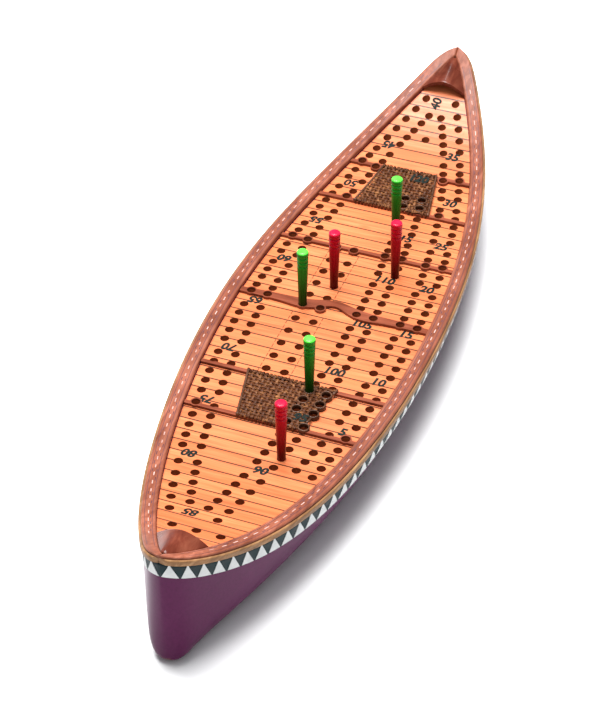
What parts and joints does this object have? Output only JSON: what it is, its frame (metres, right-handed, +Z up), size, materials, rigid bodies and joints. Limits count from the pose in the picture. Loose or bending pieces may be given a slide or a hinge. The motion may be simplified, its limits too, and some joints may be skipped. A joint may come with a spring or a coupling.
{
  "type": "canoe cribbage board",
  "caption": "Cribbage board shaped as a small canoe, with a drilled deck, cane seats, a yoke, lift-out pegs and a swivelling peg-store cover.",
  "frame": {"origin": "middle of the footprint, on the floor under the feet", "axes": "+Z up; +Y along the canoe towards its far end; +X to starboard"},
  "size_m": [0.0942, 0.34, 0.0565],
  "materials": {
    "hull_paint": "gloss paint",
    "deck_wood": "varnished",
    "red_wood": "varnished",
    "strip_wood": "varnished",
    "cane": "satin",
    "plate_wood": "gloss varnish",
    "red_peg": "gloss",
    "green_peg": "gloss",
    "brass": "satin",
    "screw_steel": "satin",
    "foot_rubber": "matte"
  },
  "bodies": {
    "board": {"hull": "hull_paint", "deck": "deck_wood", "gunwale_port": "red_wood", "gunwale_starboard": "red_wood", "strip_port": "strip_wood", "strip_starboard": "strip_wood", "seat_near_rail_a": "red_wood", "seat_near_rail_b": "red_wood", "seat_far_rail_a": "red_wood", "seat_far_rail_b": "red_wood", "seat_near_cane": "cane", "seat_far_cane": "cane", "yoke": "red_wood", "thwart": "red_wood", "plate_near": "plate_wood", "plate_far": "plate_wood", "store_screw": "screw_steel", "foot_1": "foot_rubber", "foot_2": "foot_rubber", "foot_3": "foot_rubber", "foot_4": "foot_rubber"},
    "peg_red_1": {"peg_red_1": "red_peg"},
    "peg_red_2": {"peg_red_2": "red_peg"},
    "peg_red_3": {"peg_red_3": "red_peg"},
    "peg_green_1": {"peg_green_1": "green_peg"},
    "peg_green_2": {"peg_green_2": "green_peg"},
    "peg_green_3": {"peg_green_3": "green_peg"},
    "cover": {"store_cover": "brass"}
  },
  "joints": [
    {"name": "peg_red_1_lift", "type": "slide", "parent": "board", "child": "peg_red_1", "axis": [0, 0, 1], "range_m": [0, 0.03]},
    {"name": "peg_red_2_lift", "type": "slide", "parent": "board", "child": "peg_red_2", "axis": [0, 0, 1], "range_m": [0, 0.03]},
    {"name": "peg_red_3_lift", "type": "slide", "parent": "board", "child": "peg_red_3", "axis": [0, 0, 1], "range_m": [0, 0.03]},
    {"name": "peg_green_1_lift", "type": "slide", "parent": "board", "child": "peg_green_1", "axis": [0, 0, 1], "range_m": [0, 0.03]},
    {"name": "peg_green_2_lift", "type": "slide", "parent": "board", "child": "peg_green_2", "axis": [0, 0, 1], "range_m": [0, 0.03]},
    {"name": "peg_green_3_lift", "type": "slide", "parent": "board", "child": "peg_green_3", "axis": [0, 0, 1], "range_m": [0, 0.03]},
    {"name": "cover_swing", "type": "hinge", "parent": "board", "child": "cover", "pos_m": [0, -0.032, 0.002], "axis": [0, 0, 1], "range_deg": [0, 100]}
  ]
}
